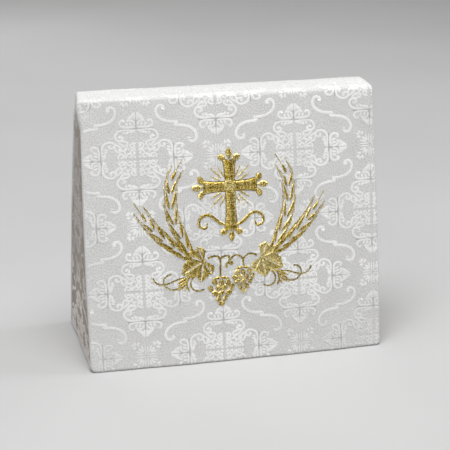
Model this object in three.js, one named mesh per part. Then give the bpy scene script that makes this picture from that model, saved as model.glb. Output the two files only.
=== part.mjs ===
// A burse: a stiff cloth pocket for a folded altar linen, stood open like a tent.
// One damask cover goes up the front panel, over a flat spine and down the back panel.
// A tapering gusset closes each side, and the foot between the two panels is the pocket's mouth.
// Millimetres, +Z up. The front faces -Y, and the origin is on the ground under the middle of the base.
import * as THREE from "three";
import { mergeVertices } from "three/addons/utils/BufferGeometryUtils.js";

// Driving dimensions
const WIDTH = 230; // across the panels, at the feet
const HEIGHT = 202; // ground to the top of the spine
const FOOT_DEPTH = 103; // outside the two feet, at the panels' corners
const SPINE_DEPTH = 29; // outside the spine, where its sides would meet its top
const PANEL_THICKNESS = 5; // board, wadding and cloth
const CORNER_RADIUS = 4; // of a panel's lower corners
const SPINE_RADIUS_LEFT = 2.6; // the spine's edge is a sharper fold at the left
const SPINE_RADIUS_RIGHT = 5; // and a softer one at the right
const SPINE_INNER_RADIUS = 1.5;
const SPINE_CROWN = 0.4; // rise of the spine's top between its edges
const SPINE_DRAW = 1.6; // how far each end of the spine is drawn in
const FOOT_BOW = 1.6; // the middle of a foot stands this far out of its corners
const PANEL_CROWN = 1.5; // wadding lifts the middle of a panel
const SIDE_TAPER = 2.2; // a panel is this much narrower on each side at the spine than at its foot
const SIDE_BOW = 1; // how far each of its sides bows out at half height

const GUSSET_THICKNESS = 1.6;
const GUSSET_INSET = 0.7; // behind the panels' outermost edge
const GUSSET_DRAW = 0.6; // how far the middle of the gusset is drawn in above its hem
const GUSSET_TUCK = 2.4; // how far its upper edge is tucked in under the end of the spine
const TUCK_HEIGHT = 12; // the height of the part that is tucked in
const HEM_HEIGHT = 0.8; // the gusset's hem above the ground
const HEM_BAND = 9; // the height of the turned-up hem
const HEM_TURN = 0.8; // the turned-up cloth, added to the thickness there
const SEAM_GAP = 0.3; // between a gusset and the cover that it is sewn to

// Facets
const COVER_COLUMNS = 20;
const CORNER_STEPS = 4;
const PANEL_STEPS = 12;
const SPINE_STEPS = 4;
const GUSSET_COLUMNS = 8;
const GUSSET_STEPS = 14;
const TUCK_STEPS = 3;

// The padded edge of the cover, from its outer face to its inner face:
// how far each layer stands in from the outline, and its share of the thickness.
const EDGE_LAYERS = [
  { inset: 2.6, depth: 0 },
  { inset: 1.2, depth: 0.09 },
  { inset: 0.4, depth: 0.2 },
  { inset: 0, depth: 0.38 },
  { inset: 0, depth: 0.88 },
  { inset: 0.6, depth: 1 },
];

const lean = Math.atan((FOOT_DEPTH - SPINE_DEPTH) / 2 / HEIGHT);
const gussetTop = HEIGHT - PANEL_THICKNESS - SEAM_GAP;

// Shares of a wave that is 0 at the ground and at the spine, and of a bow that is 0 at both sides.
const upright = (z) => Math.sin(Math.PI * THREE.MathUtils.clamp(z / HEIGHT, 0, 1));
const across = (x) => Math.max(0, 1 - (x / (WIDTH / 2)) ** 2);

function spineRadius(x) {
  return THREE.MathUtils.mapLinear(x, -WIDTH / 2, WIDTH / 2, SPINE_RADIUS_LEFT, SPINE_RADIUS_RIGHT);
}

// The fold between a panel and the spine's top, at a depth in from the outer face: a round about a centre.
function foldAt(depth, x) {
  const reach = Math.max(spineRadius(x), depth + SPINE_INNER_RADIUS);
  const centre = SPINE_DEPTH / 2 - (reach * (1 - Math.sin(lean))) / Math.cos(lean);
  return { centre, height: HEIGHT - reach, radius: reach - depth };
}

// How far the middle of a panel stands out of the plane through its side edges.
function bow(z, x) {
  return across(x) * (FOOT_BOW * (1 - Math.min(z / HEIGHT, 1)) + PANEL_CROWN * upright(z));
}

// How far a panel stands from the middle plane, at a height and a depth in from its outer face.
function panelReach(z, depth, x) {
  return SPINE_DEPTH / 2 + (HEIGHT - z) * Math.tan(lean) - depth / Math.cos(lean) + bow(z, x);
}

// The cover's rows, from the front foot over the spine to the back foot.
function coverRows() {
  const half = [];
  for (let i = 0; i <= CORNER_STEPS; i++) half.push({ zone: "corner", turn: i / CORNER_STEPS });
  for (let i = 1; i < PANEL_STEPS; i++) half.push({ zone: "panel", share: i / PANEL_STEPS });
  for (let i = 0; i <= SPINE_STEPS; i++) half.push({ zone: "fold", turn: i / SPINE_STEPS });
  const front = half.map((row) => ({ ...row, side: -1 }));
  const back = half.map((row) => ({ ...row, side: 1 })).reverse();
  return [...front, { zone: "top", side: 0 }, ...back];
}

// Half the width of a panel at a height.
function halfWidth(z) {
  return WIDTH / 2 - SIDE_TAPER * Math.min(z / HEIGHT, 1) + SIDE_BOW * upright(z);
}

// Half the cover's width in a row, before the padded edge's inset.
function outline(row, z) {
  const half = halfWidth(z);
  if (row.zone === "corner") {
    return half - CORNER_RADIUS * (1 - Math.sin((row.turn * Math.PI) / 2));
  }
  if (row.zone === "fold") return half - SPINE_DRAW * row.turn ** 2;
  return row.zone === "top" ? half - SPINE_DRAW : half;
}

// A point of the cover: u from -1 at the left to 1 at the right, in one row and one edge layer.
function coverPoint(u, row, layer) {
  const depth = layer.depth * PANEL_THICKNESS;
  const sideways = row.zone === "corner" ? Math.sin((row.turn * Math.PI) / 2) : 1;
  const downwards = row.zone === "corner" ? Math.cos((row.turn * Math.PI) / 2) : 0;
  const spread = (z) => u * (outline(row, z) - layer.inset * sideways);
  if (row.zone === "top") {
    return new THREE.Vector3(spread(HEIGHT), 0, HEIGHT - depth + SPINE_CROWN);
  }
  if (row.zone === "fold") {
    const x = spread(HEIGHT);
    const { centre, height, radius } = foldAt(depth, x);
    const angle = THREE.MathUtils.lerp(lean, Math.PI / 2, row.turn);
    const z = height + radius * Math.sin(angle);
    return new THREE.Vector3(x, row.side * (centre + radius * Math.cos(angle) + bow(z, x)), z);
  }
  let z = CORNER_RADIUS * (1 - downwards) + layer.inset * downwards;
  if (row.zone === "panel") {
    const { height, radius } = foldAt(depth, spread(HEIGHT));
    z = THREE.MathUtils.lerp(CORNER_RADIUS, height + radius * Math.sin(lean), row.share);
  }
  const x = spread(z);
  return new THREE.Vector3(x, row.side * panelReach(z, depth, x), z);
}

// A gusset's rows, each a height and how far it reaches to both panels: two for the turned-up hem,
// even steps up to the fold, and last its upper corners, rounded to lie inside the fold.
function gussetRows() {
  const straight = (z) => ({ z, reach: panelReach(z, PANEL_THICKNESS, halfWidth(z)) - SEAM_GAP });
  const rows = [straight(HEM_HEIGHT), straight(HEM_BAND)];
  const { centre, height } = foldAt(PANEL_THICKNESS, 0);
  const radius = SPINE_INNER_RADIUS - SEAM_GAP;
  for (let i = 0; i < GUSSET_STEPS; i++) {
    rows.push(straight(THREE.MathUtils.lerp(HEM_BAND + HEM_TURN, height, i / GUSSET_STEPS)));
  }
  for (let i = 0; i <= TUCK_STEPS; i++) {
    const angle = THREE.MathUtils.lerp(lean, Math.PI / 2, i / TUCK_STEPS);
    rows.push({ z: height + radius * Math.sin(angle), reach: centre + radius * Math.cos(angle) });
  }
  return rows;
}

// A point of a gusset's outer or inner face: v from -1 at the front panel to 1 at the back one.
function gussetPoint(side, v, { z, reach }, inner) {
  const edge = halfWidth(z) - GUSSET_INSET;
  const drawn = GUSSET_DRAW * (1 - v ** 2) * (1 - z / gussetTop);
  const tucked = GUSSET_TUCK * THREE.MathUtils.smoothstep(z, gussetTop - TUCK_HEIGHT, gussetTop);
  const thickness = GUSSET_THICKNESS + (z <= HEM_BAND ? HEM_TURN : 0);
  return new THREE.Vector3(side * (edge - drawn - tucked - (inner ? thickness : 0)), v * reach, z);
}

// The closed border of a grid, anticlockwise: pairs of column and row.
function border(columns, rows) {
  const ring = [];
  for (let c = 0; c < columns; c++) ring.push([c, 0]);
  for (let r = 0; r < rows; r++) ring.push([columns, r]);
  for (let c = columns; c > 0; c--) ring.push([c, rows]);
  for (let r = rows; r > 0; r--) ring.push([0, r]);
  return ring;
}

// A closed plate: its first and last layers are whole grids, and the layers between go round its border.
function plate(columns, rows, layers, point) {
  const corners = [];
  const quad = (a, b, c, d) => corners.push(a, b, c, a, c, d);
  const last = layers - 1;
  for (let r = 0; r < rows; r++) {
    for (let c = 0; c < columns; c++) {
      quad(point(c, r, 0), point(c + 1, r, 0), point(c + 1, r + 1, 0), point(c, r + 1, 0));
      quad(point(c, r, last), point(c, r + 1, last), point(c + 1, r + 1, last), point(c + 1, r, last));
    }
  }
  const ring = border(columns, rows);
  ring.forEach(([c, r], k) => {
    const [nextC, nextR] = ring[(k + 1) % ring.length];
    for (let l = 0; l < last; l++) {
      quad(point(c, r, l), point(c, r, l + 1), point(nextC, nextR, l + 1), point(nextC, nextR, l));
    }
  });
  const geometry = mergeVertices(new THREE.BufferGeometry().setFromPoints(corners));
  geometry.computeVertexNormals();
  return geometry;
}

function cover() {
  const rows = coverRows();
  const u = (column) => (2 * column) / COVER_COLUMNS - 1;
  const point = (c, r, l) => coverPoint(u(c), rows[r], EDGE_LAYERS[l]);
  return plate(COVER_COLUMNS, rows.length - 1, EDGE_LAYERS.length, point);
}

// Columns run from front to back on the left side and from back to front on the right, so that both face out.
function gusset(side) {
  const rows = gussetRows();
  const v = (column) => side * ((2 * column) / GUSSET_COLUMNS - 1);
  const point = (c, r, l) => gussetPoint(side, v(c), rows[r], l === 1);
  return plate(GUSSET_COLUMNS, rows.length - 1, 2, point);
}

const damask = new THREE.MeshStandardMaterial({ color: 0xe8e6e1, roughness: 0.7, metalness: 0 });
const gussetDamask = new THREE.MeshStandardMaterial({ color: 0xe2dfd9, roughness: 0.75, metalness: 0 });

const burse = new THREE.Group();
burse.name = "burse";

function add(name, geometry, material) {
  const mesh = new THREE.Mesh(geometry, material);
  mesh.name = name;
  burse.add(mesh);
}

add("cover", cover(), damask);
add("gusset_left", gusset(-1), gussetDamask);
add("gusset_right", gusset(1), gussetDamask);

export default burse;
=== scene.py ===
# A white damask burse with gold embroidery, stood open like a tent on a pale studio floor.
# Its cloth is laid out flat in millimetres, x across it and s along it from the middle of the spine, with
# the front below zero. The woven figure and the stitches are drawn there, and then follow the padded cover.
import math
from collections import namedtuple

import bpy
import numpy as np
from mathutils import Matrix


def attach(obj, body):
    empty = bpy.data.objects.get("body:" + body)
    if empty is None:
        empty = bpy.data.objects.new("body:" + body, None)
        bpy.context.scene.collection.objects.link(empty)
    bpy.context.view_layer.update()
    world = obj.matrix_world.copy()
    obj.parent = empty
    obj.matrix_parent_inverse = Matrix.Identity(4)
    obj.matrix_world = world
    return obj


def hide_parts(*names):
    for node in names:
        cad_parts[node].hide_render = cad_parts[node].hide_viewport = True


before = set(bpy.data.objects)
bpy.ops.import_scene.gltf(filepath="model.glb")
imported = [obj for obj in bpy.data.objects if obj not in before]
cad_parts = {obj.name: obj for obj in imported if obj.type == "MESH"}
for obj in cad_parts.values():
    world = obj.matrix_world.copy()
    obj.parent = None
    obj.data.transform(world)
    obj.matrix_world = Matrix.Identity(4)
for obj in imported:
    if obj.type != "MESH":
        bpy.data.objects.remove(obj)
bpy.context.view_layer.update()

MM = 0.001
NORMAL_STEP = 0.05
UV_MARGIN = 0.02
rng = np.random.default_rng(11)

# Sizes of the cover in millimetres, as in the part's source
WIDTH = 230.0
HEIGHT = 202.0
FOOT_DEPTH = 103.0
SPINE_DEPTH = 29.0
PANEL_THICKNESS = 5.0
CORNER_RADIUS = 4.0
SPINE_RADIUS_LEFT = 2.6
SPINE_RADIUS_RIGHT = 5.0
SPINE_INNER_RADIUS = 1.5
SPINE_CROWN = 0.4
FOOT_BOW = 1.6
PANEL_CROWN = 1.5
SIDE_TAPER = 2.2
SIDE_BOW = 1.0
# How far each end of the spine is drawn in. The top of the left side also stands out at the front and is
# drawn in at the back, over a height.
SPINE_DRAW = 0.5
LEFT_FLARE = 3.0
LEFT_DRAW = 1.0
LEFT_END_HEIGHT = 20.0
LEAN = math.atan((FOOT_DEPTH - SPINE_DEPTH) / 2 / HEIGHT)

# The padded edge: a quarter ellipse of cloth, then a straight side down to the inner face
EDGE_REACH = 2.3
EDGE_DROP = 1.8
EDGE_SIDE = 2.6
INNER_INSET = 0.6
ROLL_LENGTH = math.pi / 2 * math.hypot(EDGE_REACH, EDGE_DROP) / math.sqrt(2)

# Sizes of the gussets, of the seams at their sides, of the painted shadow lines beside the seams, and of the
# bead along their hems
GUSSET_THICKNESS = 1.6
GUSSET_INSET = 0.2
GUSSET_DRAW = 0.6
GUSSET_TUCK = 2.4
TUCK_HEIGHT = 12.0
HEM_HEIGHT = 0.8
HEM_BAND = 9.0
HEM_TURN = 0.8
SEAM_GAP = 0.3
# The painted shadow line beside each seam: how far in from the gusset's side, and how wide
SEAM_SHADOW_INSET = 2.4
SEAM_SHADOW_WIDTH = 0.2
SEAM_DIP = 0.35
SEAM_REACH = 1.6
BEAD_RADIUS = 1.3
BEAD_RISE = 0.6
GUSSET_TOP = HEIGHT - PANEL_THICKNESS - SEAM_GAP

# The gussets' painted shade is paler and cooler along their hems: the strip's height, its soft edge and its
# tint
HEM_STRIP = 6.5
HEM_SOFT = 1.0
HEM_SHADE_TINT = np.array([1.6, 1.8, 2.15])

# Facets, and how much a gusset's columns crowd to its sides
COVER_COLUMNS = 92
CORNER_STEPS = 6
PANEL_STEPS = 64
FOLD_STEPS = 12
TOP_STEPS = 8
ROLL_STEPS = 8
SIDE_STEPS = 2
GUSSET_COLUMNS = 36
BEAD_STEPS = 14
GUSSET_STEPS = 90
TIP_STEPS = 5
SIDE_CROWDING = 0.6

# Unevenness of the cloth: the height of each wave, its lengths across and along, and its phase.
# The spine's top lacks a share of it.
Wave = namedtuple("Wave", "height across along phase")
PANEL_WAVES = (Wave(0.22, 96, 150, 0.4), Wave(0.14, 43, -71, 1.9), Wave(0.08, 24, 37, 4.1))
GUSSET_WAVES = (Wave(0.30, 58, 140, 0.8), Wave(0.16, 26, -52, 2.6))
SPINE_CALM = 0.6
# The small dimple at the left end of the front panel's top edge
DIMPLE = {"x": -109.8, "s": -21.3, "wide": 2.2, "long": 3.0, "depth": 0.8}


def upright(z):
    """A wave that is 0 at the ground and at the spine."""
    return np.sin(np.pi * np.clip(z / HEIGHT, 0, 1))


def across(x):
    """A bow that is 0 at both sides."""
    return np.maximum(0, 1 - (x / (WIDTH / 2)) ** 2)


def spine_radius(x):
    share = np.clip(x / WIDTH + 0.5, 0, 1)
    return SPINE_RADIUS_LEFT + share * (SPINE_RADIUS_RIGHT - SPINE_RADIUS_LEFT)


def fold_at(depth, x):
    """Centre, height and radius of the fold between a panel and the spine's top, at a depth in the cover."""
    reach = np.maximum(spine_radius(x), depth + SPINE_INNER_RADIUS)
    centre = SPINE_DEPTH / 2 - reach * (1 - math.sin(LEAN)) / math.cos(LEAN)
    return centre, HEIGHT - reach, reach - depth


def bow(z, x):
    """How far the middle of a panel stands out of the plane through its side edges."""
    return across(x) * (FOOT_BOW * (1 - np.minimum(z / HEIGHT, 1)) + PANEL_CROWN * upright(z))


def panel_reach(z, depth, x):
    """How far a panel stands from the middle plane."""
    return SPINE_DEPTH / 2 + (HEIGHT - z) * math.tan(LEAN) - depth / math.cos(LEAN) + bow(z, x)


def lengths(x):
    """Lengths of the cloth over half the spine's top, one fold and one panel."""
    top, height, radius = fold_at(0, x)
    return top, radius * (math.pi / 2 - LEAN), (height + radius * math.sin(LEAN)) / math.cos(LEAN)


def cloth_length(x):
    """Length of the cloth from the middle of the spine to a foot."""
    return sum(lengths(x))


def section(x, s, depth):
    """The cover's profile: y, z, and a turn that goes from 0 on the panels to 1 on the spine's top."""
    top, fold, panel = lengths(x)
    along = np.abs(s)
    centre, height, radius = fold_at(depth, x)
    turn = np.clip(1 - (along - top) / fold, 0, 1)
    angle = LEAN + turn * (math.pi / 2 - LEAN)
    fold_z = height + radius * np.sin(angle)
    fold_y = centre + radius * np.cos(angle) + bow(fold_z, x)
    panel_z = (height + radius * math.sin(LEAN)) * (top + fold + panel - along) / panel
    top_y = along / top * (centre + bow(HEIGHT - depth, x))
    top_z = HEIGHT - depth + SPINE_CROWN * (1 - (along / top) ** 2)
    zones = [along < top, along > top + fold]
    y = np.select(zones, [top_y, panel_reach(panel_z, depth, x)], fold_y)
    z = np.select(zones, [top_z, panel_z], fold_z)
    return np.sign(s) * y, z, turn


def side_reach(z, side, backward):
    """How far the cover reaches to one side at a height, from its front (-1) to its back (1)."""
    rise = np.sin(np.clip(1 - (HEIGHT - z) / LEFT_END_HEIGHT, 0, 1) * math.pi / 2)
    out = (LEFT_FLARE * (1 - backward) - LEFT_DRAW * (1 + backward)) / 2
    left_end = np.where(side < 0, out * rise, 0)
    return WIDTH / 2 - SIDE_TAPER * np.minimum(z / HEIGHT, 1) + SIDE_BOW * upright(z) + left_end


def half_width(x, s):
    """Half the cover's width in each point's row."""
    _, z, turn = section(x, s, 0)
    return side_reach(z, x, np.clip(2 * s / SPINE_DEPTH, -1, 1)) - SPINE_DRAW * turn**2


def edge_roll(beyond):
    """How far out and how deep the padded edge is, a length of cloth beyond the flat face."""
    turn = np.clip(beyond / ROLL_LENGTH, 0, 1) * math.pi / 2
    side = np.maximum(beyond - ROLL_LENGTH, 0)
    return EDGE_REACH * np.sin(turn), EDGE_DROP * (1 - np.cos(turn)) + side


def waves(table, a, b):
    """The sum of a table's waves."""
    return sum(w.height * np.sin(2 * np.pi * (a / w.across + b / w.along) + w.phase) for w in table)


def swell(x, s):
    """How far the padded cloth stands out of its even form."""
    off_x = (x - DIMPLE["x"]) / DIMPLE["wide"]
    off_s = (s - DIMPLE["s"]) / DIMPLE["long"]
    dimple = DIMPLE["depth"] * np.exp(-(off_x**2) - off_s**2)
    _, _, turn = section(x, s, 0)
    return waves(PANEL_WAVES, x, s) * (1 - SPINE_CALM * turn) - dimple


def past_flat(x, s):
    """How far each point is past the corners' centres, sideways and footwards, and past the flat face."""
    past_side = np.maximum(np.abs(x) - half_width(x, s) + CORNER_RADIUS, 0)
    past_foot = np.maximum(np.abs(s) - cloth_length(x) + CORNER_RADIUS, 0)
    past = np.hypot(past_side, past_foot)
    return past_side, past_foot, np.maximum(past - CORNER_RADIUS + EDGE_REACH, 0)


def cover_surface(x, s):
    """Places of the cloth's points on the cover, with its edge rolled over the padding."""
    past_side, past_foot, beyond = past_flat(x, s)
    out, depth = edge_roll(beyond)
    slip = (beyond - out) / np.maximum(np.hypot(past_side, past_foot), 1e-9)
    x_on = x - np.sign(x) * past_side * slip
    s_on = s - np.sign(s) * past_foot * slip
    y, z, _ = section(x_on, s_on, depth - swell(x, s))
    return np.stack([x_on, y, z], axis=-1)


def gusset_reach(z):
    """Half the gusset's width at a height, with its upper corners rounded inside the fold."""
    centre, height, radius = fold_at(PANEL_THICKNESS, 0)
    radius = radius - SEAM_GAP
    rounded = centre + np.sqrt(np.maximum(radius**2 - (z - height) ** 2, 0))
    return np.where(z > height, rounded, panel_reach(z, PANEL_THICKNESS, WIDTH / 2) - SEAM_GAP)


def gusset_surface(side):
    """A function for places on a gusset's outer face: a to the right as seen from outside, and height."""

    def surface(a, z):
        reach = gusset_reach(z)
        tip = np.clip((z - GUSSET_TOP + TUCK_HEIGHT) / TUCK_HEIGHT, 0, 1)
        tucked = GUSSET_TUCK * tip * tip * (3 - 2 * tip)
        drawn = GUSSET_DRAW * (1 - (a / reach) ** 2) * (1 - z / GUSSET_TOP)
        seam = SEAM_DIP * np.exp(-(((reach - np.abs(a)) / SEAM_REACH) ** 2))
        bead = np.sqrt(np.maximum(0, 1 - ((z - HEM_HEIGHT) / BEAD_RADIUS - 1) ** 2))
        soft = waves(GUSSET_WAVES, a, z) * (1 - tip)
        inset = GUSSET_INSET + tucked + drawn + seam
        out = side_reach(z, side, side * a / reach) - inset + BEAD_RISE * bead + soft
        return np.stack([side * out, side * a, z], axis=-1)

    return surface


def lifted(surface, a, b, lift):
    """Points of a surface, raised along its normal."""
    across_it = surface(a + NORMAL_STEP, b) - surface(a - NORMAL_STEP, b)
    along_it = surface(a, b + NORMAL_STEP) - surface(a, b - NORMAL_STEP)
    normal = np.cross(across_it, along_it)
    normal /= np.linalg.norm(normal, axis=-1, keepdims=True)
    return surface(a, b) + normal * np.asarray(lift)[..., None]


# Meshes
def add_object(name, data):
    made = bpy.data.objects.new(name, data)
    bpy.context.scene.collection.objects.link(made)
    return made


def add_mesh(name, points, faces, corner_uv, **attributes):
    """A smooth mesh object from arrays, with points in millimetres, a UV map and named point attributes."""
    mesh = bpy.data.meshes.new(name)
    mesh.from_pydata((points * MM).tolist(), [], faces.tolist())
    mesh.uv_layers.new(name="OFBake").uv.foreach_set("vector", corner_uv.astype(np.float32).ravel())
    for key, values in attributes.items():
        kind, slot = ("FLOAT", "value") if values.ndim == 1 else ("FLOAT_VECTOR", "vector")
        layer = mesh.attributes.new(key, kind, "POINT")
        layer.data.foreach_set(slot, values.astype(np.float32).ravel())
    mesh.shade_smooth()
    return add_object(name, mesh)


def grid_faces(grid):
    """Quads between the points of a grid of indices, or of a stack of such grids."""
    corners = [grid[..., :-1, :-1], grid[..., :-1, 1:], grid[..., 1:, 1:], grid[..., 1:, :-1]]
    return np.stack(corners, axis=-1).reshape(-1, 4)


def border(grid):
    """The closed border of a grid of indices or places, anticlockwise."""
    return np.concatenate([grid[0, :-1], grid[:-1, -1], grid[-1, :0:-1], grid[:0:-1, 0]])


def flat_map(places, extent, half):
    """Flat places as a UV map in the left (0) or right (1) half of the square."""
    low, high = extent
    shares = UV_MARGIN + (1 - 2 * UV_MARGIN) * (places - low) / (high - low)
    return np.stack([(shares[..., 0] + half) / 2, shares[..., 1]], axis=-1)


def add_plate(name, outer, rims, inner, outer_flat, rim_flat, inner_flat, shade):
    """A closed plate: an outer and an inner grid of points, joined round their borders through rim layers.
    Each comes with its flat cloth places, and the last rim layer's flat places are the inner border's. The
    shade is a function of flat places."""
    rows, columns = outer.shape[:2]
    grid = np.arange(rows * columns).reshape(rows, columns)
    ring = border(grid)
    rim_ids = rows * columns + np.arange(len(rims) * len(ring)).reshape(len(rims), len(ring))
    inner_grid = rows * columns + rim_ids.size + grid
    loops = [ring, *rim_ids, border(inner_grid)]
    faces = [grid_faces(grid)]
    for near, far in zip(loops, loops[1:]):
        faces.append(np.stack([near, far, np.roll(far, -1), np.roll(near, -1)], axis=-1))
    outside = np.concatenate(faces)
    inside = grid_faces(inner_grid)[:, ::-1]
    points = np.concatenate([part.reshape(-1, 3) for part in (outer, rims, inner)])
    flat = np.concatenate([part.reshape(-1, 2) for part in (outer_flat, rim_flat[:-1], inner_flat)])
    outer_side = flat.copy()
    outer_side[border(inner_grid)] = rim_flat[-1]
    extent = outer_side.min(axis=0), outer_side.max(axis=0)
    uv = np.concatenate([flat_map(outer_side[outside], extent, 0), flat_map(flat[inside], extent, 1)])
    cloth = np.pad(flat, ((0, 0), (0, 1)))
    faces = np.concatenate([outside, inside])
    return add_mesh(name, points, faces, uv, cloth=cloth, shade=shade(flat[:, 0], flat[:, 1]))


def cover_face(inset):
    """Flat places of the cover's face inside an inset, in rows from the front foot to the back one, and the
    way out of the face in each row, as shares sideways and footwards."""
    u = np.linspace(-1, 1, COVER_COLUMNS + 1)
    x = u * WIDTH / 2
    top, fold, _ = lengths(x)
    length = cloth_length(x)
    turn = np.linspace(0, math.pi / 2, CORNER_STEPS, endpoint=False)
    corner = length - (CORNER_RADIUS + (inset - CORNER_RADIUS) * np.cos(turn))[:, None]
    stops = [length - CORNER_RADIUS, top + fold, top, 0 * top]
    spans = zip(stops, stops[1:], (PANEL_STEPS, FOLD_STEPS, TOP_STEPS))
    along = np.concatenate([corner, *[np.linspace(*span, endpoint=False) for span in spans]])
    s = np.concatenate([-along, stops[-1:], along[::-1]])
    turns = np.pad(turn, (0, len(along) - len(turn) + 1), constant_values=math.pi / 2)
    turns = np.concatenate([turns, turns[-2::-1]])
    narrow = CORNER_RADIUS + (inset - CORNER_RADIUS) * np.sin(turns)
    flat = np.stack([u * (half_width(x, s) - narrow[:, None]), s], axis=-1)
    return flat, np.sin(turns), np.sign(s[:, 0]) * np.cos(turns)


def even_shade(a, b):
    """The same shade everywhere."""
    return np.ones_like(a)


def gusset_shade(a, z):
    """The gusset's painted shade is paler and cooler along its hem."""
    return 1 + (HEM_SHADE_TINT - 1) * np.clip((HEM_STRIP - z) / HEM_SOFT + 0.5, 0, 1)[:, None]


def add_cover():
    flat, sideways, footwards = cover_face(EDGE_REACH)
    ways = np.zeros_like(flat)
    ways[:, 0] = np.stack([-sideways, footwards], axis=-1)
    ways[:, -1] = np.stack([sideways, footwards], axis=-1)
    ways[0, :] = 0, -1
    ways[-1, :] = 0, 1
    roll = np.linspace(0, ROLL_LENGTH, ROLL_STEPS + 1)[1:]
    side = ROLL_LENGTH + np.linspace(0, EDGE_SIDE, SIDE_STEPS + 1)[1:]
    beyond = np.concatenate([roll, side, side[-1:] + INNER_INSET])
    rim_flat = border(flat) + border(ways) * beyond[:, None, None]
    rims = cover_surface(rim_flat[:-1, :, 0], rim_flat[:-1, :, 1])
    inner_flat, _, _ = cover_face(INNER_INSET)
    inner_x = inner_flat[..., 0]
    y, z, _ = section(inner_x, inner_flat[..., 1], np.full_like(inner_x, PANEL_THICKNESS))
    inner = np.stack([inner_x, y, z], axis=-1)
    outer = cover_surface(flat[..., 0], flat[..., 1])
    return add_plate("burse_cover", outer, rims, inner, flat, rim_flat, inner_flat, even_shade)


def add_gusset(name, side):
    bead = np.linspace(0, 2 * BEAD_RADIUS, BEAD_STEPS + 1)[:-1] + HEM_HEIGHT
    _, fold_height, _ = fold_at(PANEL_THICKNESS, 0)
    body = np.linspace(HEM_HEIGHT + 2 * BEAD_RADIUS, fold_height, GUSSET_STEPS)
    turn = np.linspace(0, math.pi / 2, TIP_STEPS + 1)[1:]
    heights = np.concatenate([bead, body, fold_height + (GUSSET_TOP - fold_height) * np.sin(turn)])
    even = np.linspace(-1, 1, GUSSET_COLUMNS + 1)
    v = np.sin(even * math.pi / 2) * SIDE_CROWDING + even * (1 - SIDE_CROWDING)
    z = np.repeat(heights[:, None], len(v), axis=1)
    flat = np.stack([v * gusset_reach(z), z], axis=-1)
    outer = gusset_surface(side)(flat[..., 0], flat[..., 1])
    inner = outer.copy()
    inner[..., 0] -= side * (GUSSET_THICKNESS + np.where(z <= HEM_BAND, HEM_TURN, 0))
    no_rims = np.zeros((0, 3))
    return add_plate(name, outer, no_rims, inner, flat, border(flat)[None], flat, gusset_shade)


# The woven figure, as strokes: flat points and half widths. It repeats in a half-drop from one medallion.
Leaf = namedtuple("Leaf", "from_a from_b to_a to_b width")
Band = namedtuple("Band", "width knots")
REPEAT_ACROSS = 121.3
REPEAT_ALONG = 99.85
COVER_MEDALLION = (-11.7, -9.1)
GUSSET_MEDALLION = (4.0, 11.0)
COVER_MARGIN = 8.0
GUSSET_MARGIN = 2.0
# A ribbon's rise, in layers that keep crossing ribbons apart, its sides, and where it ends on the padded edge
FIGURE_RISE = 0.08
FIGURE_LAYERS = 3
LAYER_STEP = 0.01
FIGURE_SINK = -0.04
FIGURE_SLOPE = 0.42
FIGURE_END = 0.5
FURROW_RISE = 0.14
FURROW_STEPS = 15
FURROW_END = 0.3
SEAM_SHADOW_STEPS = 60
# Painted shade on the ribbons' sloping sides, on the cover, on the gussets and on the seams' shadow lines
# (there none); painted shade that dims the figure on the spine's top; and how much fainter the figure is up
# the gussets
EDGE_SHADE = 0.42
GUSSET_EDGE_SHADE = 0.9
SEAM_SHADOW_EDGE_SHADE = 1.0
SPINE_FIGURE_SHADE = 0.12
GUSSET_FADE = 0.44
GUSSET_FADE_START = 42.0
GUSSET_FADE_HEIGHT = 30.0
# Where painted shade dims the figure, standing for satin sheen that falls off: a place on the cloth, how far
# the dimming reaches, and the share that is lost
Fade = namedtuple("Fade", "x s wide long share")
FIGURE_SHADE_PATCHES = (
    Fade(-116.0, -110.0, 16.0, 150.0, 0.09),
    Fade(95.0, -205.0, 45.0, 32.0, 0.12),
    Fade(-95.0, -215.0, 40.0, 24.0, 0.09),
)

# An eighth of the medallion, in units of a fortieth of its arm: a is off the arm's axis and b along it
MEDALLION_SCALE = (1.086, 0.906)
MEDALLION_LEAVES = (
    Leaf(0.85, 38.9, 0.95, 32.2, 1.9),
    Leaf(1.2, 38.2, 3.3, 32.6, 2.3),
    Leaf(2.0, 36.6, 5.6, 32.2, 1.9),
    Leaf(3.2, 27.3, 4.6, 30.6, 1.6),
    Leaf(5.8, 27.4, 7.2, 30.4, 1.6),
    Leaf(0.6, 24.0, 5.4, 21.7, 2.6),
    Leaf(5.4, 23.2, 7.6, 20.2, 1.9),
    Leaf(8.2, 23.0, 9.4, 20.6, 1.6),
    Leaf(8.6, 10.0, 13.4, 15.2, 1.7),
    Leaf(0.9, 8.6, 5.2, 8.5, 1.0),
    Leaf(0.8, 1.4, 2.2, 3.0, 1.2),
    Leaf(8.8, 6.4, 11.4, 8.2, 1.3),
)
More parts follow.
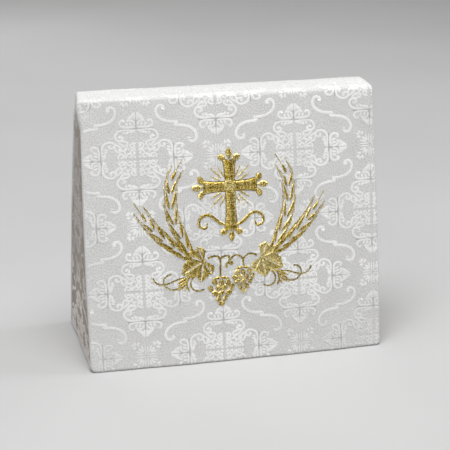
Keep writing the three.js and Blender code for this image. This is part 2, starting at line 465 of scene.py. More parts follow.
MEDALLION_BANDS = (
    Band(1.55, ((1.0, 26.5), (5, 26.3), (9.2, 26.7), (11.3, 28.8), (10.6, 31.5), (8.9, 32.2), (8.2, 30.6))),
    Band(1.4, ((1.0, 27.6), (1.7, 30.6), (4.2, 31.8), (6.2, 31.2))),
    Band(1.6, ((3.0, 24.1), (9, 24.2), (12.4, 23.2), (14.4, 20.4), (14.4, 17.4), (12.6, 15.6), (10.2, 16.2),
               (9.6, 18.2), (11.2, 19.2), (12.2, 18))),
    Band(1.45, ((13.4, 15), (10.4, 15.2), (7.6, 14.6), (6.2, 12.8), (7.2, 11.2), (8.6, 11.8), (8.2, 13))),
    Band(1.3, ((0.8, 12.9), (2.8, 13.2), (4.7, 11.6), (3.8, 9.6), (1.9, 9.8), (1.9, 11.3), (3, 11.5))),
    Band(1.3, ((1.0, 7.6), (3, 7.6), (4.8, 6), (3.9, 4), (2, 4.2), (1.9, 5.6), (3, 5.9))),
    Band(1.3, ((5.3, 7.8), (6.6, 8.9), (8.1, 8.6), (8, 7.3))),
)
# The furrows of one arm, along its axis and across it: dark lines of the weave, deepened as painted shade of
# shallow grooves
MEDALLION_FURROWS = (Leaf(0, 38.6, 0, 25.6, 0.16), Leaf(-12.3, 25.2, 12.3, 25.2, 0.2))
# An eighth of the small star between the medallions, in millimetres
STAR_LEAVES = (
    Leaf(0.85, 1.3, 1.0, 8.6, 0.9),
    Leaf(2.1, 3.5, 4.0, 8.4, 1.3),
    Leaf(2.6, 3.2, 6.0, 6.7, 1.0),
    Leaf(6.6, 7.5, 6.0, 10.8, 2.0),
    Leaf(8.0, 8.7, 9.4, 11.2, 2.0),
)
# Half of the S-scroll, in millimetres from its middle, and the step that joins it to the other half
SCROLL_HALF = Band(2.0, ((-1.0, -1.3), (5, -1.6), (10.8, -3.4), (14.4, -7), (15, -11.2), (12.4, -14),
                         (9.6, -12.8), (9.7, -10.4)))
SCROLL_STEP = Band(2.4, ((1.1, 1.5), (-1.1, -1.5)))
# Shares of a stroke's length and of its width there
LEAF_SHARES = (0.08, 0.96)
LEAF_ROUND = 0.7
BAND_TAPER = ((0, 0.1, 0.8, 1), (0.6, 1, 1, 1.2))
SCROLL_TAPER = ((0, 0.7, 0.9, 1), (1, 1, 1.35, 1.2))


def square_to(path):
    """Unit ways square to a path, at each of its points."""
    way = np.gradient(path, axis=0)
    way /= np.linalg.norm(way, axis=1, keepdims=True)
    return np.stack([-way[:, 1], way[:, 0]], axis=-1)


def smooth_curve(knots, steps):
    """A smooth curve through its knots, with steps from each knot to the next."""
    knots = np.asarray(knots, float)
    padded = np.vstack([2 * knots[0] - knots[1], knots, 2 * knots[-1] - knots[-2]])
    t = np.linspace(0, 1, steps, endpoint=False)[:, None]
    spans = []
    for before, start, end, after in zip(padded, padded[1:], padded[2:], padded[3:]):
        bend = 2 * before - 5 * start + 4 * end - after
        twist = -before + 3 * start - 3 * end + after
        spans.append(start + 0.5 * t * (end - before) + 0.5 * t**2 * bend + 0.5 * t**3 * twist)
    return np.vstack([*spans, knots[-1:]])


def leaf_stroke(leaf, steps=6):
    """A straight leaf, rounded to its ends."""
    points = np.linspace((leaf.from_a, leaf.from_b), (leaf.to_a, leaf.to_b), steps)
    return points, leaf.width / 2 * np.sin(np.pi * np.linspace(*LEAF_SHARES, steps)) ** LEAF_ROUND


def band_stroke(band, taper=BAND_TAPER, steps=3):
    """A band through its knots, as wide as its taper says."""
    points = smooth_curve(band.knots, steps)
    return points, band.width / 2 * np.interp(np.linspace(0, 1, len(points)), *taper)


def moved(strokes, place):
    return [(points + place, widths) for points, widths in strokes]


def scaled(strokes, scale):
    return [(points * scale, widths) for points, widths in strokes]


def fourfold(strokes):
    """Strokes of one arm, turned to four arms."""
    turns = [np.array(Matrix.Rotation(quarter * math.pi / 2, 2)) for quarter in range(4)]
    return [(points @ turn.T, widths) for turn in turns for points, widths in strokes]


def eightfold(strokes):
    """The strokes of one eighth and their mirror images, turned to four arms."""
    return fourfold([*strokes, *scaled(strokes, [-1, 1])])


def medallion():
    """The large figure, with four arms of scrolls and leaves."""
    eighth = [leaf_stroke(leaf) for leaf in MEDALLION_LEAVES]
    eighth += [band_stroke(band) for band in MEDALLION_BANDS]
    return scaled(eightfold(eighth), MEDALLION_SCALE)


def furrows():
    """Thin dark lines along and across a medallion's arms, partly painted groove shade."""
    arm = [leaf_stroke(leaf, FURROW_STEPS) for leaf in MEDALLION_FURROWS]
    return scaled(fourfold(arm), MEDALLION_SCALE)


def star():
    return eightfold([leaf_stroke(leaf) for leaf in STAR_LEAVES])


def scroll(mirror):
    """An S of two curling halves, or its mirror image."""
    half = [band_stroke(SCROLL_HALF, SCROLL_TAPER)]
    return scaled([*half, *scaled(half, -1), band_stroke(SCROLL_STEP)], [mirror, 1])


def repeat():
    """One repeat of the figure, about its medallion's middle."""
    across_it, along_it = REPEAT_ACROSS / 4, REPEAT_ALONG / 4
    return [
        *medallion(),
        *moved(star(), (2 * across_it, 0)),
        *moved(scroll(1), (across_it, along_it)),
        *moved(scroll(-1), (-across_it, along_it)),
    ]


def lattice(unit, origin, low, high):
    """Copies of a unit of the figure, in a half-drop, over a rectangle of cloth."""
    step = np.array([REPEAT_ACROSS, REPEAT_ALONG]) / 2
    first = np.floor((low - origin) / step).astype(int) - 2
    last = np.ceil((high - origin) / step).astype(int) + 2
    strokes = []
    for row in range(first[1], last[1] + 1):
        for column in range(first[0], last[0] + 1):
            if (row + column) % 2 == 0:
                strokes += moved(unit, origin + step * (column, row))
    return strokes


def seam_shadow_strokes():
    """A painted shadow line along each sewn side of a gusset."""
    z = np.linspace(HEM_STRIP, GUSSET_TOP - TUCK_HEIGHT, SEAM_SHADOW_STEPS)
    widths = np.full(SEAM_SHADOW_STEPS, SEAM_SHADOW_WIDTH / 2)
    return [(np.stack([side * (gusset_reach(z) - SEAM_SHADOW_INSET), z], axis=-1), widths) for side in (-1, 1)]


def runs_inside(strokes, inside):
    """The runs of each stroke's points that lie inside the cloth."""
    for points, widths in strokes:
        kept = inside(points[:, 0], points[:, 1])
        edges = np.flatnonzero(np.diff(np.concatenate([[0], kept.astype(int), [0]])))
        for start, end in zip(edges[::2], edges[1::2]):
            if end - start > 1:
                yield points[start:end], widths[start:end]


def add_figure(name, strokes, surface, inside, extent, shine, rise=FIGURE_RISE, edge=EDGE_SHADE):
    """The woven figure as low flat ribbons on a cloth, with painted shade on their sloping sides."""
    flat, lifts, faces, count = [], [], [], 0
    for index, (points, widths) in enumerate(runs_inside(strokes, inside)):
        sideways = square_to(points)
        reach = np.stack([widths + FIGURE_SLOPE, widths, -widths, -widths - FIGURE_SLOPE], axis=1)
        flat.append((points[:, None] + sideways[:, None] * reach[..., None]).reshape(-1, 2))
        top = rise + LAYER_STEP * (index % FIGURE_LAYERS)
        lifts.append(np.tile([FIGURE_SINK, top, top, FIGURE_SINK], len(points)))
        faces.append(grid_faces(count + np.arange(4 * len(points)).reshape(-1, 4))[:, ::-1])
        count += 4 * len(points)
    flat, lifts, faces = np.concatenate(flat), np.concatenate(lifts), np.concatenate(faces)
    points = lifted(surface, flat[:, 0], flat[:, 1], lifts)
    uv = flat_map(flat, extent, 0)[faces]
    # Painted shade: the sloping sides are darker, and the shine function dims the figure further
    shade = np.where(lifts > 0, 1, edge) * shine(flat[:, 0], flat[:, 1])
    return add_mesh(name, points, faces, uv, cloth=np.pad(flat, ((0, 0), (0, 1))), shade=shade)


def cover_figure_shade(x, s):
    """Painted shade that dims the figure on the spine's top and where the satin's sheen falls off."""
    lost = sum(f.share * np.exp(-(((x - f.x) / f.wide) ** 2) - ((s - f.s) / f.long) ** 2) for f in FIGURE_SHADE_PATCHES)
    return 1 - lost - SPINE_FIGURE_SHADE * section(x, s, 0)[2]


def gusset_shine(a, z):
    """The figure shows most near the foot of a gusset."""
    return 1 - GUSSET_FADE * np.clip((z - GUSSET_FADE_START) / GUSSET_FADE_HEIGHT, 0, 1)


def on_cover(x, s):
    """True where the figure shows, short of the padded edge's turn."""
    return past_flat(x, s)[2] < FIGURE_END * ROLL_LENGTH


def on_panels(x, s):
    """True where the furrows show, short of the spine."""
    return on_cover(x, s) & (section(x, s, 0)[2] < FURROW_END)


def on_gusset(a, z):
    """True where the figure shows, clear of the hem and the seams."""
    inside = (z > HEM_HEIGHT + 2 * BEAD_RADIUS) & (z < GUSSET_TOP - SEAM_REACH)
    return inside & (np.abs(a) < gusset_reach(z) - SEAM_REACH)


# Embroidery: rows of stitches, each with two ends, a width, a height and a tone from dark to bright
Satin = namedtuple("Satin", "height tone")
Petal = namedtuple("Petal", "width height tone fullest")
Thread = namedtuple("Thread", "width tone")
EMBLEM_X = -2.95
EMBLEM_S = -11.2
PITCH = 0.42
STITCH_WIDTH = 1.2 * PITCH
LINE_STITCH = 2.0
LINE_OVERLAP = 0.3
LINE_HEIGHT = 0.12
STITCH_SHARES = np.array([0, 0.14, 0.5, 0.86, 1])
STITCH_HEIGHTS = np.array([0, 0.7, 1, 0.7, 0])
STITCH_WIDTHS = np.array([0.6, 1, 1, 1, 0.6])
THREAD_RISE = 0.16
STITCH_BASE = 0.04
STITCH_JITTER = 0.07
TONE_SPREAD = 0.14
CELL_MARGIN = 0.1
CURVE_STEPS = 8
PETAL_STEPS = 15
PETAL_ROUND = 0.75
DISC_STEPS = 11
DISC_START = 0.08
RING_STEPS = 41


def along_path(points, shares):
    """Points at shares of a path's length."""
    steps = np.linalg.norm(np.diff(points, axis=0), axis=1)
    at = np.concatenate([[0], np.cumsum(steps)]) / steps.sum()
    return np.stack([np.interp(shares, at, points[:, 0]), np.interp(shares, at, points[:, 1])], axis=-1)


def path_length(points):
    return np.linalg.norm(np.diff(points, axis=0), axis=1).sum()


def stitch_rows(starts, ends, width, height, tone):
    """Stitches with a little unevenness in their ends and tones."""
    count = len(starts)
    starts = starts + rng.normal(0, STITCH_JITTER, starts.shape)
    ends = ends + rng.normal(0, STITCH_JITTER, ends.shape)
    tones = tone + rng.normal(0, TONE_SPREAD, count)
    columns = [np.full(count, width), np.broadcast_to(height, count), tones]
    return np.column_stack([starts, ends, *columns])


def satin(left, right, height, tone, slant=0.0):
    """Satin stitches across the space between two rails."""
    middle = (left + right) / 2
    count = max(3, round(path_length(middle) / PITCH))
    shares = (np.arange(count) + 0.5) / count
    starts = along_path(left, np.clip(shares - slant, 0, 1))
    ends = along_path(right, np.clip(shares + slant, 0, 1))
    spans = np.linalg.norm(ends - starts, axis=1)
    heights = height * np.sqrt(spans / max(spans.max(), 1e-6))
    return stitch_rows(starts, ends, STITCH_WIDTH, heights, tone)


def line(points, width, tone):
    """A line of overlapping stitches along a path."""
    count = max(2, round(path_length(points) / LINE_STITCH))
    place = np.arange(count)
    starts = along_path(points, np.clip((place - LINE_OVERLAP) / count, 0, 1))
    ends = along_path(points, np.clip((place + 1 + LINE_OVERLAP) / count, 0, 1))
    return stitch_rows(starts, ends, width, LINE_HEIGHT, tone)


def turned(way, degrees):
    """A way turned by an angle."""
    cos, sin = math.cos(math.radians(degrees)), math.sin(math.radians(degrees))
    return np.array([way[0] * cos - way[1] * sin, way[0] * sin + way[1] * cos])


def petal(base, way, length, form):
    """A pointed oval of satin from its base along a way."""
    t = np.linspace(0, 1, PETAL_STEPS)
    warped = t ** (math.log(0.5) / math.log(form.fullest))
    spread = form.width / 2 * np.sin(np.pi * warped) ** PETAL_ROUND
    middle = np.asarray(base) + t[:, None] * length * np.asarray(way)
    off = turned(way, 90) * spread[:, None]
    return satin(middle + off, middle - off, form.height, form.tone)


def arc(radius, start, end, steps):
    """Points of a circle between two angles."""
    angle = np.linspace(start, end, steps)
    return radius * np.stack([np.cos(angle), np.sin(angle)], axis=-1)


def disc(centre, radius, height, tone, degrees):
    """A round of satin."""
    left = arc(radius, DISC_START, np.pi - DISC_START, DISC_STEPS)
    turn = np.array(Matrix.Rotation(math.radians(degrees), 2))
    right = left * [1, -1]
    return satin(left @ turn.T + centre, right @ turn.T + centre, height, tone)


# The cross: a boss, arms with trefoil petals at their ends and rays beside them, and two scrolls at the foot
Spoke = namedtuple("Spoke", "degrees length")
CROSS_CENTRE = np.array([0.0, 72.0])
BOSS_RADIUS = 5.4
BOSS_DEGREES = 45
BOSS_SATIN = Satin(1.5, 0.7)
BOSS_EDGE = Thread(1.3, 0.15)
CROSS_ARMS = (Spoke(0, 21.0), Spoke(90, 33.0), Spoke(180, 21.0), Spoke(270, 20.0))
ARM_STEPS = 24
ARM_START = 3.2
ARM_WIDTH = 7.0
ARM_FLARE = 3.2
ARM_SATIN = Satin(1.0, 0.45)
ARM_EDGE = Thread(0.6, 0.1)
ARM_EDGE_OUT = 0.25
TREFOIL = (Spoke(-66, 6.6), Spoke(0, 8.6), Spoke(66, 6.6))
TREFOIL_PETAL = Petal(5.2, 0.8, 0.55, 0.55)
TREFOIL_GAP = 0.3
TREFOIL_SPREAD = 2.8
RAYS = (Spoke(30, 9.0), Spoke(45, 13.0), Spoke(60, 9.0))
RAY_PETAL = Petal(1.3, 0.35, 0.6, 0.3)
RAY_START = 8.5
FOOT_SCROLL = Band(2.4, ((0, 103), (8, 100), (17, 93), (24, 95), (25, 101), (20, 103), (18.5, 99)))
FOOT_SCROLL_TAPER = ((0, 0.15, 0.8, 1), (0.3, 1, 0.8, 0.5))
FOOT_SCROLL_SATIN = Satin(0.5, 0.5)
FOOT_SCROLL_SLANT = 0.01


def cross_arm(arm):
    way = turned((1.0, 0.0), arm.degrees)
    off = turned(way, 90)
    t = np.linspace(0, 1, ARM_STEPS)[:, None]
    middle = CROSS_CENTRE + (ARM_START + t * (arm.length - ARM_START)) * way
    spread = (ARM_WIDTH + ARM_FLARE * t**3) / 2
    rows = [satin(middle - off * spread, middle + off * spread, *ARM_SATIN)]
    rows += [line(middle + side * off * (spread + ARM_EDGE_OUT), *ARM_EDGE) for side in (-1, 1)]
    tip = CROSS_CENTRE + way * (arm.length + TREFOIL_GAP)
    for degrees, length in TREFOIL:
        base = tip + off * TREFOIL_SPREAD * math.sin(math.radians(degrees))
        rows.append(petal(base, turned(way, degrees), length, TREFOIL_PETAL))
    for degrees, length in RAYS:
        ray = turned(way, degrees)
        rows.append(petal(CROSS_CENTRE + ray * RAY_START, ray, length, RAY_PETAL))
    return rows


def cross():
    rows = [
        disc(CROSS_CENTRE, BOSS_RADIUS, *BOSS_SATIN, BOSS_DEGREES),
        line(CROSS_CENTRE + arc(BOSS_RADIUS, 0, 2 * np.pi, RING_STEPS), *BOSS_EDGE),
    ]
    for arm in CROSS_ARMS:
        rows += cross_arm(arm)
    path, spread = band_stroke(FOOT_SCROLL, FOOT_SCROLL_TAPER, CURVE_STEPS)
    for side in (-1, 1):
        middle = path * [side, 1]
        off = square_to(middle) * spread[:, None]
        rows.append(satin(middle - off, middle + off, *FOOT_SCROLL_SATIN, FOOT_SCROLL_SLANT))
    return np.vstack(rows)


# Wheat: each ear's nodes from its foot, where its grains spring in pairs, and the tip of its top grain's awn
Ear = namedtuple("Ear", "nodes tip")
EARS = (
    Ear(((30.5, 125), (34.8, 118), (38.6, 109), (43.2, 98.6), (46.1, 86.5), (45.7, 75), (44.6, 65)),
        (35.8, 49.2)),
    Ear(((33, 125), (38.5, 121), (44.7, 116.5), (52, 109.8), (59.8, 101.7), (65, 94.6)), (74.2, 80.2)),
)
# The right ears' paler tone is painted light, for the light falling on their mirrored stitches.
EAR_TONES = {-1: 0.35, 1: 0.45}
EAR_STEPS = 12
GRAIN_STEPS = 40
TOP_GRAIN_STEPS = 30
GRAIN_LENGTH = 13.5
GRAIN_WIDTH = 2.1
GRAIN_HEIGHT = 0.55
GRAIN_SLANT = 0.14
GRAIN_SKEW = 0.75
GRAIN_ENDS = (0.02, 0.99)
GRAIN_ROUND = 0.8
AWN_LENGTH = 15.0
AWN_WIDTH = 0.6
AWN_TONE = 0.25
AWN_OVERLAP = 3
AWN_END = 0.75
SPREAD_START = 0.8
SPREAD = 5.0
SPREAD_REACH = 14.0


def grain(middle, tone):
    """A slender grain of satin along a path, with its awn running on from it."""
    steps = round(len(middle) * GRAIN_LENGTH / (GRAIN_LENGTH + AWN_LENGTH))
    t = np.linspace(0, 1, steps)
    spread = GRAIN_WIDTH / 2 * np.sin(np.pi * np.clip(t**GRAIN_SKEW, *GRAIN_ENDS)) ** GRAIN_ROUND
    body = middle[:steps]
    off = square_to(body) * spread[:, None]
    return [
        satin(body + off, body - off, GRAIN_HEIGHT, tone, GRAIN_SLANT),
        line(middle[steps - AWN_OVERLAP:], AWN_WIDTH, tone + AWN_TONE),
    ]


def ear(form, side):
    """Pairs of grains that spread from an ear's axis, and one grain at its top."""
    tone = EAR_TONES[side]
    axis = smooth_curve([*form.nodes, form.tip], EAR_STEPS) * [side, 1]
    total = path_length(axis)
    across_axis = square_to(axis)
    rows = []
    for index in range(len(form.nodes) - 1):
        start = path_length(axis[:index * EAR_STEPS + 1])
        at = np.linspace(0, min(GRAIN_LENGTH + AWN_LENGTH, AWN_END * (total - start)), GRAIN_STEPS)
        spread = SPREAD_START + SPREAD * (1 - np.exp(-at / SPREAD_REACH))
        shares = (start + at) / total
        middle, off = along_path(axis, shares), along_path(across_axis, shares)
        for lean in (-1, 1):
            rows += grain(middle + lean * spread[:, None] * off, tone)
    rows += grain(along_path(axis[-EAR_STEPS - 1:], np.linspace(0, 1, TOP_GRAIN_STEPS)), tone)
    return np.vstack(rows)


def wheat():
    return np.vstack([ear(form, side) for form in EARS for side in (-1, 1)])


# Vine: a leaf's lobes from the joint of its veins, its tendrils and blades, the arcs between the leaves, and
# the grapes in each row of a bunch. The left leaf (-1) is painted darker and the right one paler, as painted
# shade and light on mirrored stitches; the left leaf also has wider veins.
Lobe = namedtuple("Lobe", "off down width")
LEAF_JOINT = np.array([22.6, 127.9])
LOBES = (
    Lobe(4.4, -11.4, 10.5),
    Lobe(14.2, -5.6, 15.5),
    Lobe(17.2, 9.2, 16.5),
    Lobe(2.8, 15.8, 14.0),
    Lobe(-6.4, 10.8, 11.5),
)
LEAF_TONES = {-1: 0.54, 1: 0.8}
VEIN_GAPS = {-1: 0.38, 1: 0.16}
LOBE_STEPS = 41
LOBE_FLARE = 0.64
LOBE_SKEW = 0.95
LOBE_ROUND = 0.9
LOBE_LEAST = 0.1
LOBE_HEIGHT = 0.5
LOBE_SLANT = 0.06
TEETH = 5
TOOTH_START = 0.86
TOOTH_RISE = 0.3
TENDRIL_THREAD = Thread(1.15, 0.5)
TENDRILS = (
    ((34, 139.6), (42.5, 140.3), (48.5, 142.3), (54, 143.9), (58.8, 142.8), (61.5, 140), (62.2, 137.6)),
    ((37, 144.8), (43.5, 147.8), (48.5, 148), (52.6, 145.6), (54.3, 141.2), (52, 137.3), (47.6, 136.2)),
    ((30.4, 139.4), (33.1, 142.8), (33.2, 146.6), (30.8, 149.9), (26.7, 150.8), (22.8, 149.4)),
    ((33.2, 138.6), (35.6, 142.2), (36.2, 147)),
)
Blade = namedtuple("Blade", "off down degrees length width")
BLADES = (
    Blade(34.6, 139.4, 26, 10.5, 2.2),
    Blade(35.6, 141.8, 30, 9.5, 1.9),
    Blade(36.0, 144.0, 33, 9.5, 1.9),
    Blade(36.2, 146.5, 56, 4.2, 1.4),
    Blade(36.1, 146.5, 112, 4.4, 1.4),
)
BLADE_SATIN = {"height": 0.4, "tone": 0.4, "fullest": 0.4}
Bunch = namedtuple("Bunch", "off down size")
BUNCHES = (Bunch(-9.5, 144.9, 1.0), Bunch(7.9, 138.1, 0.9))
GRAPE_ROWS = (3, 4, 3, 2, 1)
GRAPE_RADIUS = 2.45
GRAPE_STEP = 5.4
GRAPE_DROP = 4.15
GRAPE_JITTER = 0.2
GRAPE_SIZES = (0.88, 1.0)
GRAPE_TONES = (0.4, 0.75)
GRAPE_HEIGHT = 0.95
CAP_RISE = 1.1
CAP_DEGREES = 8
CAP_LENGTH = 6.6
CAP_PETAL = Petal(1.9, 0.5, 0.35, 0.45)
ARC_THREAD = Thread(1.45, 0.5)
VINE_ARCS = (
    ((-19.6, 126.4), (-14.8, 124.3), (-11, 125.4), (-9.8, 128), (-10.2, 141.4)),
    ((-9.7, 126.8), (-5.3, 124.6), (-2.3, 125.8), (-3.2, 130), (-0.6, 132.3), (0.3, 130.2), (-3, 130),
     (-6.2, 132), (-3.9, 134.1)),
    ((-2.9, 129.9), (-1.5, 127.4), (0.9, 125), (5, 125.4), (7.8, 128), (8.2, 134.6)),
    ((8.2, 128.2), (11.6, 124.8), (15.5, 124.6), (19.4, 126.6)),
)


def half_lobe(joint, reach, width, half, side):
    """Satin from a lobe's vein to its toothed edge, on one half of the lobe."""
    length = np.linalg.norm(reach)
    way = reach / length
    gap = VEIN_GAPS[side]
    t = np.linspace(0, 1, LOBE_STEPS)
    teeth = TOOTH_START + TOOTH_RISE * (TEETH * t % 1)
    round_edge = width / 2 * np.sin(np.pi * t**LOBE_SKEW) ** LOBE_ROUND
    spread = np.maximum(np.minimum(round_edge, LOBE_FLARE * t * length) * teeth, gap + LOBE_LEAST)
    off = turned(way, 90) * half
    middle = joint + t[:, None] * length * way
    edge = middle + off * spread[:, None]
    return satin(middle + off * gap, edge, LOBE_HEIGHT, LEAF_TONES[side], LOBE_SLANT)


def vine_leaf(side):
    joint = LEAF_JOINT * [side, 1]
    rows = []
    for lobe in LOBES:
        reach = np.array([side * lobe.off, lobe.down])
        rows += [half_lobe(joint, reach, lobe.width, half, side) for half in (-1, 1)]
    return rows


def bunch(form):
    """Rows of round grapes under two small leaves."""
    rows = []
    for row, count in enumerate(GRAPE_ROWS):
        for place in range(count):
            off = (place - (count - 1) / 2) * GRAPE_STEP
            centre = np.array([off, row * GRAPE_DROP]) * form.size + rng.normal(0, GRAPE_JITTER, 2)
            radius = GRAPE_RADIUS * form.size * rng.uniform(*GRAPE_SIZES)
            tone, degrees = rng.uniform(*GRAPE_TONES), rng.uniform(0, 180)
            rows.append(disc(centre + (form.off, form.down), radius, GRAPE_HEIGHT, tone, degrees))
    for side in (-1, 1):
        base = (form.off, form.down - GRAPE_RADIUS - CAP_RISE)
        way = turned((side, 0.0), side * CAP_DEGREES)
        rows.append(petal(base, way, CAP_LENGTH * form.size, CAP_PETAL))
    return rows


def vine():
    rows = []
    for side in (-1, 1):
        rows += vine_leaf(side)
        rows += [line(smooth_curve(knots, CURVE_STEPS) * [side, 1], *TENDRIL_THREAD) for knots in TENDRILS]
        for blade in BLADES:
            way = turned((1.0, 0.0), blade.degrees) * [side, 1]
            base = (side * blade.off, blade.down)
            rows.append(petal(base, way, blade.length, Petal(blade.width, **BLADE_SATIN)))
    rows += [line(smooth_curve(knots, CURVE_STEPS), *ARC_THREAD) for knots in VINE_ARCS]
    for form in BUNCHES:
        rows += bunch(form)
    return np.vstack(rows)


def stitch_map(count, across_it):
    """A UV map with each stitch in a cell of its own."""
    side = math.ceil(math.sqrt(count))
    cell = np.stack([np.arange(count) % side, np.arange(count) // side], axis=-1)[:, None, None]
    shares = np.stack(np.broadcast_arrays(np.linspace(0, 1, across_it), STITCH_SHARES[:, None]), axis=-1)
    return ((cell + CELL_MARGIN + (1 - 2 * CELL_MARGIN) * shares) / side).reshape(-1, 2)


def add_embroidery(name, rows):
    """Raised threads on the front panel, one for each stitch."""
    starts, ends = rows[:, None, 0:2], rows[:, None, 2:4]
    width, height, tone = rows[:, 4], rows[:, 5], rows[:, 6]
    middle = starts + (ends - starts) * STITCH_SHARES[:, None]
    way = (ends - starts) / np.maximum(np.linalg.norm(ends - starts, axis=-1, keepdims=True), 1e-6)
    off = np.stack([-way[..., 1], way[..., 0]], axis=-1) * (width[:, None] * STITCH_WIDTHS / 2)[..., None]
    flat = np.stack([middle - off, middle, middle + off], axis=2)
    lift = STITCH_BASE + height[:, None, None] * STITCH_HEIGHTS[:, None] + np.array([0, THREAD_RISE, 0])
    lift = np.where(STITCH_HEIGHTS[:, None] > 0, lift, -STITCH_BASE)
    count, along, across_it = flat.shape[:3]
    ids = np.arange(count * along * across_it).reshape(count, along, across_it)
    faces = grid_faces(ids)[:, ::-1]
    x = flat[..., 0].ravel() + EMBLEM_X
    s = EMBLEM_S - flat[..., 1].ravel()
    points = lifted(cover_surface, x, s, np.broadcast_to(lift, ids.shape).ravel())
    uv = stitch_map(count, across_it)[faces]
    return add_mesh(name, points, faces, uv, tone=np.repeat(np.clip(tone, 0, 1), along * across_it))


# Materials
def new_material(name, **inputs):
    """A material, its nodes and its shader with some inputs set, named in small letters."""
    material = bpy.data.materials.new(name)
    material.use_nodes = True
    shader = material.node_tree.nodes["Principled BSDF"]
    for key, value in inputs.items():
        shader.inputs[key.replace("_", " ").title()].default_value = value
    return material, material.node_tree, shader


def node(tree, kind, **settings):
    """A new node with its settings and inputs."""
    made = tree.nodes.new(kind)
    for key, value in settings.items():
        if hasattr(made, key):
            setattr(made, key, value)
        else:
            made.inputs[key].default_value = value
    return made


def colour_ramp(tree, factor, stops):
    """Colours at places from 0 to 1."""
    ramp = node(tree, "ShaderNodeValToRGB")
    elements = ramp.color_ramp.elements
    while len(elements) < len(stops):
        elements.new(0.5)
    for element, (place, colour) in zip(elements, stops):
        element.position = place
        element.color = (*colour, 1)
    tree.links.new(factor, ramp.inputs["Fac"])
    return ramp.outputs["Color"]


def added(tree, first, second, share):
    """The first value plus a share of the second."""
    sum_node = node(tree, "ShaderNodeMath", operation="MULTIPLY_ADD")
    tree.links.new(second, sum_node.inputs[0])
    sum_node.inputs[1].default_value = share
    tree.links.new(first, sum_node.inputs[2])
    return sum_node.outputs["Value"]


def attribute(tree, name, output="Vector"):
    """A point attribute of the mesh."""
    return node(tree, "ShaderNodeAttribute", attribute_name=name).outputs[output]


def object_place(tree):
    return node(tree, "ShaderNodeTexCoord").outputs["Object"]


def shaded(tree, colour):
    """A colour times the painted shade and light kept in the mesh's shade attribute."""
    made = node(tree, "ShaderNodeVectorMath", operation="MULTIPLY")
    tree.links.new(colour, made.inputs[0])
    tree.links.new(attribute(tree, "shade"), made.inputs[1])
    return made.outputs["Vector"]


def bands(tree, place, direction, pitch):
    """Soft ridges of a pitch in millimetres, where a scale of 1 has a pitch of a tenth of pi."""
    scale = math.pi / 10 / pitch
    wave = node(tree, "ShaderNodeTexWave", bands_direction=direction, Scale=scale, Distortion=0.6)
    tree.links.new(place, wave.inputs["Vector"])
    return wave.outputs["Fac"]


def noise(tree, place, size, about_zero=False):
    """Noise with grains of a size, from 0 to 1 or about zero."""
    made = node(tree, "ShaderNodeTexNoise", Scale=1 / size, Detail=2.0, normalize=not about_zero)
    tree.links.new(place, made.inputs["Vector"])
    return made.outputs["Fac"]


def add_bump(tree, shader, height, strength, distance):
    bump = node(tree, "ShaderNodeBump", Strength=strength, Distance=distance * MM)
    tree.links.new(height, bump.inputs["Height"])
    tree.links.new(bump.outputs["Normal"], shader.inputs["Normal"])


def ground_cloth(name, dark, light):
    """The matt ground of the damask: a fine crepe of threads with soft grains."""
    material, tree, shader = new_material(name, roughness=0.8, sheen_weight=0.12, sheen_roughness=0.5)
    place = attribute(tree, "cloth")
    grains = noise(tree, place, size=1.0)
    colour = colour_ramp(tree, grains, [(0.4, dark), (0.6, light)])
    tree.links.new(shaded(tree, colour), shader.inputs["Base Color"])
    weave = added(tree, bands(tree, place, "X", pitch=0.55), bands(tree, place, "Y", pitch=0.48), share=0.9)
    add_bump(tree, shader, added(tree, weave, grains, share=2.2), strength=0.5, distance=0.14)
    return material


def figure_cloth(name, dark, light):
    """The satin figure: smooth floats that lie along the cloth, paler than the ground partly as painted
    sheen.
    """
    material, tree, shader = new_material(name, roughness=0.45, sheen_weight=0.15)
    place = attribute(tree, "cloth")
    grains = noise(tree, place, size=1.3)
    fading = added(tree, grains, noise(tree, place, size=60, about_zero=True), share=0.3)
    colour = colour_ramp(tree, fading, [(0.25, dark), (0.7, light)])
    tree.links.new(shaded(tree, colour), shader.inputs["Base Color"])
    floats = added(tree, bands(tree, place, "X", pitch=0.4), grains, share=0.8)
    add_bump(tree, shader, floats, strength=0.35, distance=0.06)
    return material


def gold_thread():
    """Metal thread, from its dark turns to its bright ones."""
    material, tree, shader = new_material("gold_thread", metallic=1.0, roughness=0.34)
    stops = [(0.0, (0.21, 0.125, 0.002)), (0.5, (0.60, 0.425, 0.055)), (1.0, (0.98, 0.86, 0.44))]
    place = object_place(tree)
    speckles = noise(tree, place, size=0.9 * MM, about_zero=True)
    tone = added(tree, attribute(tree, "tone", "Fac"), speckles, share=1.1)
    tree.links.new(colour_ramp(tree, tone, stops), shader.inputs["Base Color"])
    add_bump(tree, shader, noise(tree, place, size=0.4 * MM), strength=0.4, distance=0.05)
    return material


def floor_paper():
    """A pale matt floor with a trace of unevenness."""
    material, tree, shader = new_material("floor_paper", roughness=0.9)
    grains = noise(tree, object_place(tree), size=300 * MM)
    stops = [(0.3, (0.44, 0.44, 0.44)), (0.7, (0.47, 0.47, 0.47))]
    tree.links.new(colour_ramp(tree, grains, stops), shader.inputs["Base Color"])
    return material


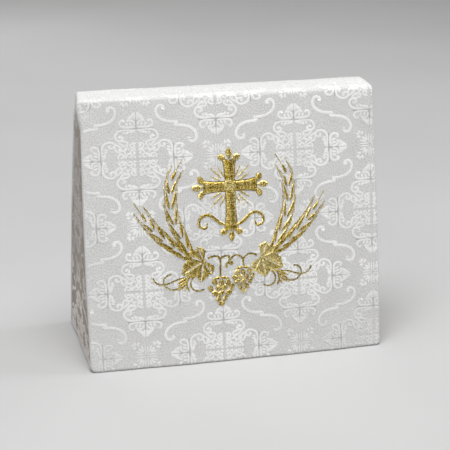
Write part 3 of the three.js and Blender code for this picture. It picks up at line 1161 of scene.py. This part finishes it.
# Light, floor and camera
AIM = (0.0009, 0, 0.0917)
CAMERA_AZIMUTH = -14.36
CAMERA_ELEVATION = 19.72
CAMERA_ROLL = 0.48
CAMERA_DISTANCE = 1.176
CAMERA_LENS = 120.48
CAMERA_SENSOR = 36.0
FLOOR_SIZE = 12.0
FLOOR_LEVEL = -0.05 * MM
WORLD_STRENGTH = 0.11
Light = namedtuple("Light", "name azimuth elevation distance size power")
LIGHTS = (
    Light("key", -24, 76, 2.6, (1.9, 1.6), 85),
    Light("side", 86, 30, 1.6, (0.5, 0.9), 9.0),
    Light("front", -34, 25, 1.1, (0.5, 0.6), 2.6),
    Light("rim", -172, 24, 1.3, (0.4, 0.8), 1.8),
)


def facing(azimuth, elevation, distance, roll=0):
    """The place of something that looks at the aim from a bearing in degrees."""
    place = Matrix.Translation(AIM)
    for degrees, axis in ((azimuth, "Z"), (90 - elevation, "X"), (roll, "Z")):
        place = place @ Matrix.Rotation(math.radians(degrees), 4, axis)
    return place @ Matrix.Translation((0, 0, distance))


def add_camera():
    data = bpy.data.cameras.new("camera")
    data.sensor_width = CAMERA_SENSOR
    data.lens = CAMERA_LENS
    made = add_object("camera", data)
    made.matrix_world = facing(CAMERA_AZIMUTH, CAMERA_ELEVATION, CAMERA_DISTANCE, CAMERA_ROLL)
    bpy.context.scene.camera = made


def add_light(light):
    data = bpy.data.lights.new(light.name, "AREA")
    data.shape = "RECTANGLE"
    data.size, data.size_y = light.size
    data.energy = light.power
    add_object(light.name, data).matrix_world = facing(light.azimuth, light.elevation, light.distance)


def add_world():
    world = bpy.data.worlds.new("studio")
    world.use_nodes = True
    background = world.node_tree.nodes["Background"]
    background.inputs["Color"].default_value = (1, 1, 1, 1)
    background.inputs["Strength"].default_value = WORLD_STRENGTH
    bpy.context.scene.world = world


def add_floor():
    mesh = bpy.data.meshes.new("floor")
    half = FLOOR_SIZE / 2
    corners = [(x * half, y * half, FLOOR_LEVEL) for x, y in ((-1, -1), (1, -1), (1, 1), (-1, 1))]
    mesh.from_pydata(corners, [], [(0, 1, 2, 3)])
    mesh.materials.append(floor_paper())
    add_object("floor", mesh)


def dress(piece, material):
    piece.data.materials.append(material)
    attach(piece, "root")


# The burse
ground = ground_cloth("damask_ground", dark=(0.55, 0.547, 0.537), light=(0.70, 0.697, 0.687))
# The furrows' darker colour is partly the weave's dark line and partly painted groove shade.
furrow = ground_cloth("damask_furrow", dark=(0.51, 0.508, 0.50), light=(0.59, 0.588, 0.58))
# The gussets are the same white damask; their darker, warmer ground colours here are painted shade.
gusset_ground_painted_shade = ground_cloth("gusset_ground_painted_shade", dark=(0.30, 0.254, 0.212), light=(0.36, 0.306, 0.257))
# The lines beside the gussets' seams are painted shadow, in a dark cloth colour.
seam_shadow = ground_cloth("gusset_seam_shadow", dark=(0.20, 0.17, 0.15), light=(0.24, 0.205, 0.18))
# The figure's paler colour than the ground is partly its woven pattern and partly painted satin sheen.
satin_figure = figure_cloth("damask_figure", dark=(0.70, 0.697, 0.687), light=(0.85, 0.847, 0.837))
# The gussets' figure is darker and warmer than the cover's as painted shade.
gusset_satin_painted_shade = figure_cloth("gusset_figure_painted_shade", dark=(0.58, 0.51, 0.45), light=(0.76, 0.69, 0.63))
gold = gold_thread()

cover = add_cover()
dress(cover, ground)
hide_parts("cover")
cover_corner = np.array([WIDTH / 2, cloth_length(0)]) + COVER_MARGIN
on_cloth = {"surface": cover_surface, "extent": (-cover_corner, cover_corner)}
strokes = lattice(repeat(), COVER_MEDALLION, *on_cloth["extent"])
figure = add_figure("cover_figure", strokes, inside=on_cover, shine=cover_figure_shade, **on_cloth)
dress(figure, satin_figure)
strokes = lattice(furrows(), COVER_MEDALLION, *on_cloth["extent"])
lines = add_figure("cover_furrows", strokes, inside=on_panels, shine=even_shade, rise=FURROW_RISE, **on_cloth)
dress(lines, furrow)

embroidery = [
    add_embroidery("embroidered_cross", cross()),
    add_embroidery("embroidered_wheat", wheat()),
    add_embroidery("embroidered_vine", vine()),
]
for piece in embroidery:
    dress(piece, gold)
cover_flat = WIDTH * MM, 2 * cloth_length(0) * MM

gusset_half = gusset_reach(0) + GUSSET_MARGIN
gusset_extent = np.array([-gusset_half, 0]), np.array([gusset_half, GUSSET_TOP])
for side, node_name in ((-1, "gusset_left"), (1, "gusset_right")):
    gusset = add_gusset("burse_" + node_name, side)
    dress(gusset, gusset_ground_painted_shade)
    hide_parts(node_name)
    on_cloth = {"surface": gusset_surface(side), "extent": gusset_extent, "inside": on_gusset}
    strokes = lattice(repeat(), GUSSET_MEDALLION * np.array([side, 1]), *gusset_extent)
    gusset_figure_painted_shade = add_figure(
        node_name + "_figure", strokes, shine=gusset_shine, edge=GUSSET_EDGE_SHADE, **on_cloth
    )
    dress(gusset_figure_painted_shade, gusset_satin_painted_shade)
    seam_shadows = add_figure(
        node_name + "_seams", seam_shadow_strokes(), shine=even_shade, edge=SEAM_SHADOW_EDGE_SHADE, **on_cloth
    )
    dress(seam_shadows, seam_shadow)
    width, tall = 2 * gusset_reach(0) * MM, (GUSSET_TOP - HEM_HEIGHT) * MM
    area = (gusset_reach(0) + gusset_reach(GUSSET_TOP)) * MM * tall

add_floor()
add_world()
for light in LIGHTS:
    add_light(light)
add_camera()
bpy.context.scene.view_settings.view_transform = "Standard"
